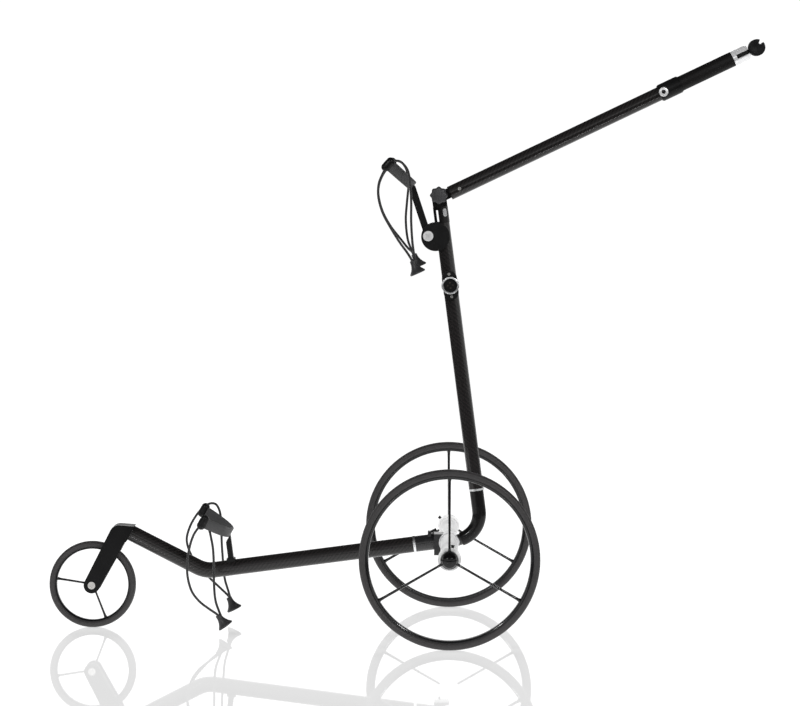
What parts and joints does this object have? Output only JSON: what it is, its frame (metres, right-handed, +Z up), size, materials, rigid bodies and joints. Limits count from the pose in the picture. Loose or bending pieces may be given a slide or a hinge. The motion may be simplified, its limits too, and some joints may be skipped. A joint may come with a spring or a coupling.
{
  "type": "golf trolley",
  "caption": "Folding push trolley for a golf bag: carbon tube frame, drive axle, spoked wheels, bag cradles with elastic cord loops and an adjustable handle with a speed knob.",
  "frame": {"origin": "on the floor under the middle of the trolley's bounding box", "axes": "+X towards the handle at the rear, +Y towards the far wheel, +Z up"},
  "size_m": [1.2342, 0.6086, 1.0163],
  "materials": {
    "carbon": "woven carbon fibre under a clear gloss coat",
    "black_alloy": "gloss black coated alloy",
    "silver_alloy": "satin anodised",
    "steel": "bright turned steel",
    "chrome": "polished",
    "motor_case": "zinc plated",
    "cable_jacket": "smooth jacket",
    "black_plastic": "moulded, fine grain",
    "cradle_plastic": "moulded, dark grey, fine grain",
    "knob_plastic": "moulded, dark grey, matte",
    "grip_foam": "soft touch sleeve",
    "contact_metal": "plated contacts",
    "tyre_rubber": "fine ribbed rubber",
    "rim_composite": "moulded composite, satin gloss",
    "gloss_cap": "polished black",
    "elastic_cord": "braided elastic cord",
    "pull_rubber": "moulded rubber"
  },
  "bodies": {
    "rear_frame": {"axle_tube": "silver_alloy", "drive_motors": "motor_case", "gearboxes": "steel", "shaft_bearings": "steel", "axle_clamp": "silver_alloy", "upright_elbow": "black_alloy", "upper_ring": "silver_alloy", "upright_tube": "carbon", "motor_cable": "cable_jacket", "socket_flange": "black_plastic", "socket_ring": "chrome", "socket_insert": "black_plastic", "socket_contacts": "contact_metal", "socket_screws": "steel", "cradle_bracket": "black_plastic", "cradle_bolt": "steel", "hinge_fork": "black_plastic", "hinge_insert": "silver_alloy", "hinge_nut": "steel"},
    "star_knob": {"star_knob": "knob_plastic"},
    "handle": {"handle_tongue": "black_plastic", "handle_rivet": "steel", "handle_tube": "carbon", "handle_sleeve": "black_plastic", "accessory_boss": "silver_alloy", "grip_tube": "grip_foam", "handle_end": "chrome", "knob_arm": "black_plastic"},
    "speed_knob": {"speed_knob": "knob_plastic"},
    "upper_cradle": {"upper_strut": "black_plastic", "upper_saddle": "cradle_plastic", "upper_tips": "black_plastic", "upper_near_cord": "elastic_cord", "upper_far_cord": "elastic_cord", "upper_grips": "pull_rubber"},
    "front_frame": {"front_knuckle": "black_alloy", "lower_ring": "silver_alloy", "front_tube": "carbon", "fork": "black_plastic", "front_axle_bolt": "steel", "lower_strut": "black_plastic", "lower_saddle": "cradle_plastic", "lower_tips": "black_plastic", "lower_near_cord": "elastic_cord", "lower_far_cord": "elastic_cord", "lower_grips": "pull_rubber"},
    "fold_latch": {"fold_latch": "black_alloy"},
    "front_wheel": {"front_tyre": "tyre_rubber", "front_rim": "rim_composite", "front_bearings": "steel"},
    "near_wheel": {"near_tyre": "tyre_rubber", "near_rim": "rim_composite", "near_hub": "silver_alloy", "near_cap": "gloss_cap"},
    "near_pin": {"near_pin": "black_plastic"},
    "far_wheel": {"far_tyre": "tyre_rubber", "far_rim": "rim_composite", "far_hub": "silver_alloy", "far_cap": "gloss_cap"},
    "far_pin": {"far_pin": "black_plastic"}
  },
  "joints": [
    {"name": "front_fold", "type": "hinge", "parent": "rear_frame", "child": "front_frame", "pos_m": [0.076, 0, 0.15], "axis": [0, 1, 0], "range_deg": [0, 68]},
    {"name": "latch_lift", "type": "hinge", "parent": "front_frame", "child": "fold_latch", "pos_m": [0.042, 0, 0.1655], "axis": [0, -1, 0], "range_deg": [0, 35], "stiffness_Nm_per_rad": 0.1, "springref_deg": -11.46},
    {"name": "handle_fold", "type": "hinge", "parent": "rear_frame", "child": "handle", "pos_m": [0.05781, 0, 0.74864], "axis": [0, 1, 0], "range_deg": [-90, 30]},
    {"name": "star_knob_turn", "type": "hinge", "parent": "rear_frame", "child": "star_knob", "pos_m": [0.05781, 0, 0.74864], "axis": [0, -1, 0], "range_deg": [0, 360]},
    {"name": "speed_turn", "type": "hinge", "parent": "handle", "child": "speed_knob", "pos_m": [0.60286, 0, 1.00191], "axis": [0, 1, 0], "range_deg": [-135, 135]},
    {"name": "upper_cradle_fold", "type": "hinge", "parent": "rear_frame", "child": "upper_cradle", "pos_m": [0.03954, 0, 0.67875], "axis": [0, -1, 0], "range_deg": [0, 150]},
    {"name": "front_wheel_spin", "type": "hinge", "parent": "front_frame", "child": "front_wheel", "pos_m": [-0.542, 0, 0.075], "axis": [0, 1, 0], "continuous": true},
    {"name": "near_wheel_spin", "type": "hinge", "parent": "rear_frame", "child": "near_wheel", "pos_m": [0.076, -0.28, 0.15], "axis": [0, 1, 0], "continuous": true},
    {"name": "far_wheel_spin", "type": "hinge", "parent": "rear_frame", "child": "far_wheel", "pos_m": [0.076, 0.28, 0.15], "axis": [0, 1, 0], "continuous": true},
    {"name": "near_pin_press", "type": "slide", "parent": "near_wheel", "child": "near_pin", "axis": [-0.2419, 0, -0.9703], "range_m": [0, 0.0025], "stiffness_N_per_m": 200, "springref_m": -0.002},
    {"name": "far_pin_press", "type": "slide", "parent": "far_wheel", "child": "far_pin", "axis": [0.7547, 0, -0.6561], "range_m": [0, 0.0025], "stiffness_N_per_m": 200, "springref_m": -0.002}
  ]
}
